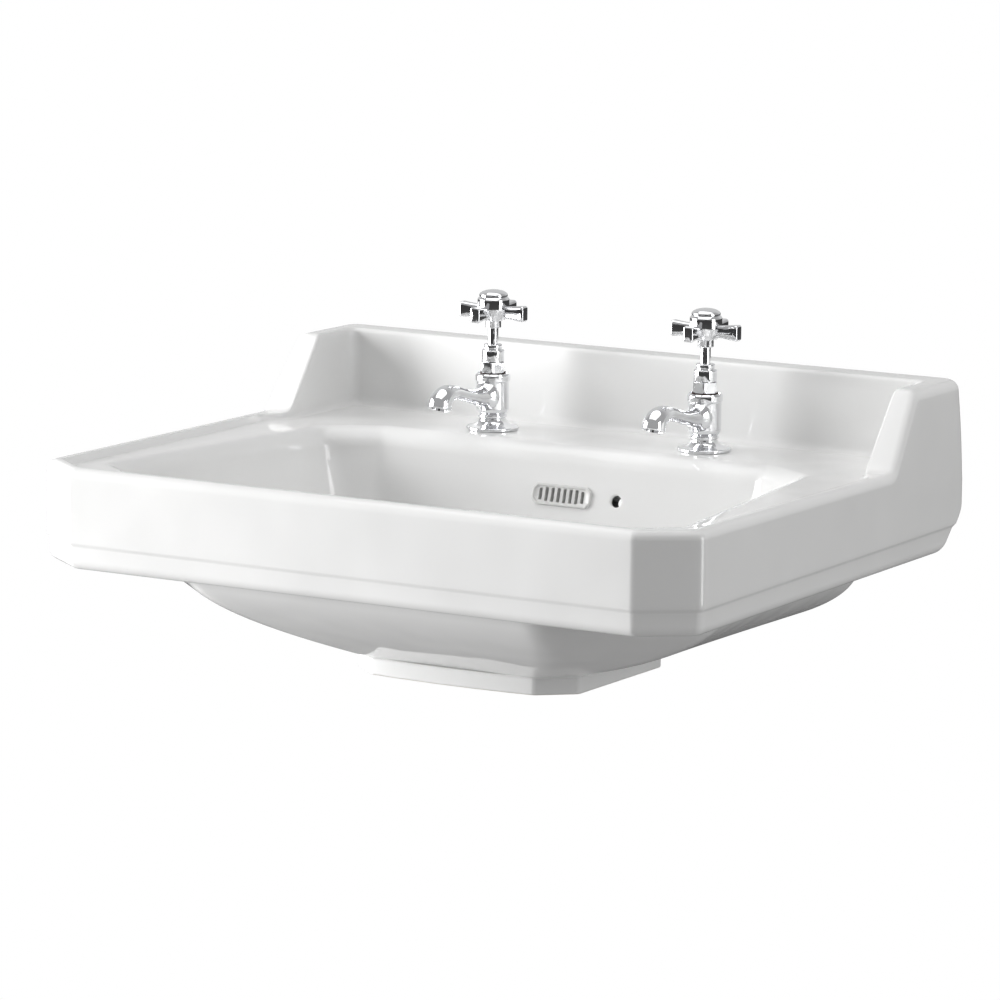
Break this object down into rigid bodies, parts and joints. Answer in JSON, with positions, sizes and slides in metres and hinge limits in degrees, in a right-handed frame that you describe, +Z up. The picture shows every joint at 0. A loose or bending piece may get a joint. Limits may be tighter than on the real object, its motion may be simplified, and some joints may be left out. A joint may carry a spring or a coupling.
{
  "type": "pedestal basin with pillar taps",
  "caption": "Ceramic washbasin with chamfered front corners, splashback, overflow grille and pedestal seat, fitted with crosshead pillar taps and a waste with a lift plug.",
  "frame": {"origin": "on the flat back face, at rim height, at mid width", "axes": "+Z up, +Y into the wall, front towards -Y, +X to the right seen from the front"},
  "size_m": [0.595, 0.4655, 0.2941],
  "materials": {
    "white_china": "white glazed vitreous china, high gloss",
    "grille_white": "gloss white",
    "tap_chrome": "polished chrome plate",
    "waste_chrome": "polished chrome plate",
    "plain_brass": "turned brass, unplated",
    "black_rubber": "matt black",
    "nylon": "moulded nylon, satin",
    "red_fibre": "pressed fibre, matt",
    "packing": "greased cord packing"
  },
  "bodies": {
    "root": {"basin": "white_china", "overflow_grille": "grille_white", "waste_body": "waste_chrome", "waste_top_seal": "black_rubber", "waste_lower_seal": "black_rubber", "waste_backnut": "plain_brass", "hot_tap_body": "tap_chrome", "hot_base_seal": "black_rubber", "hot_clamp_washer": "nylon", "hot_backnut": "plain_brass", "hot_bonnet": "tap_chrome", "hot_bonnet_washer": "red_fibre", "hot_gland_nut": "tap_chrome", "hot_gland_packing": "packing", "cold_tap_body": "tap_chrome", "cold_base_seal": "black_rubber", "cold_clamp_washer": "nylon", "cold_backnut": "plain_brass", "cold_bonnet": "tap_chrome", "cold_bonnet_washer": "red_fibre", "cold_gland_nut": "tap_chrome", "cold_gland_packing": "packing"},
    "plug": {"plug_cap": "waste_chrome", "plug_seal": "black_rubber", "plug_stem": "plain_brass"},
    "hot_valve": {"hot_jumper": "plain_brass", "hot_tap_washer": "black_rubber", "hot_washer_nut": "plain_brass"},
    "hot_handle": {"hot_spindle": "tap_chrome", "hot_crosshead": "tap_chrome", "hot_crosshead_screw": "plain_brass", "hot_index_cap": "tap_chrome"},
    "cold_valve": {"cold_jumper": "plain_brass", "cold_tap_washer": "black_rubber", "cold_washer_nut": "plain_brass"},
    "cold_handle": {"cold_spindle": "tap_chrome", "cold_crosshead": "tap_chrome", "cold_crosshead_screw": "plain_brass", "cold_index_cap": "tap_chrome"}
  },
  "joints": [
    {"name": "plug_lift", "type": "slide", "parent": "root", "child": "plug", "axis": [0, 0, 1], "range_m": [0, 0.008]},
    {"name": "hot_rise", "type": "slide", "parent": "root", "child": "hot_valve", "axis": [0, 0, 1], "range_m": [0, 0.00375]},
    {"name": "hot_turn", "type": "hinge", "parent": "hot_valve", "child": "hot_handle", "pos_m": [-0.1, -0.078, 0.09], "axis": [0, 0, 1], "range_deg": [0, 675]},
    {"name": "cold_rise", "type": "slide", "parent": "root", "child": "cold_valve", "axis": [0, 0, 1], "range_m": [0, 0.00375]},
    {"name": "cold_turn", "type": "hinge", "parent": "cold_valve", "child": "cold_handle", "pos_m": [0.1, -0.078, 0.09], "axis": [0, 0, 1], "range_deg": [0, 675]}
  ],
  "couplings": [
    {"joint": "hot_turn", "follows": "hot_rise", "rad_per_m": 3141.6},
    {"joint": "cold_turn", "follows": "cold_rise", "rad_per_m": 3141.6}
  ]
}
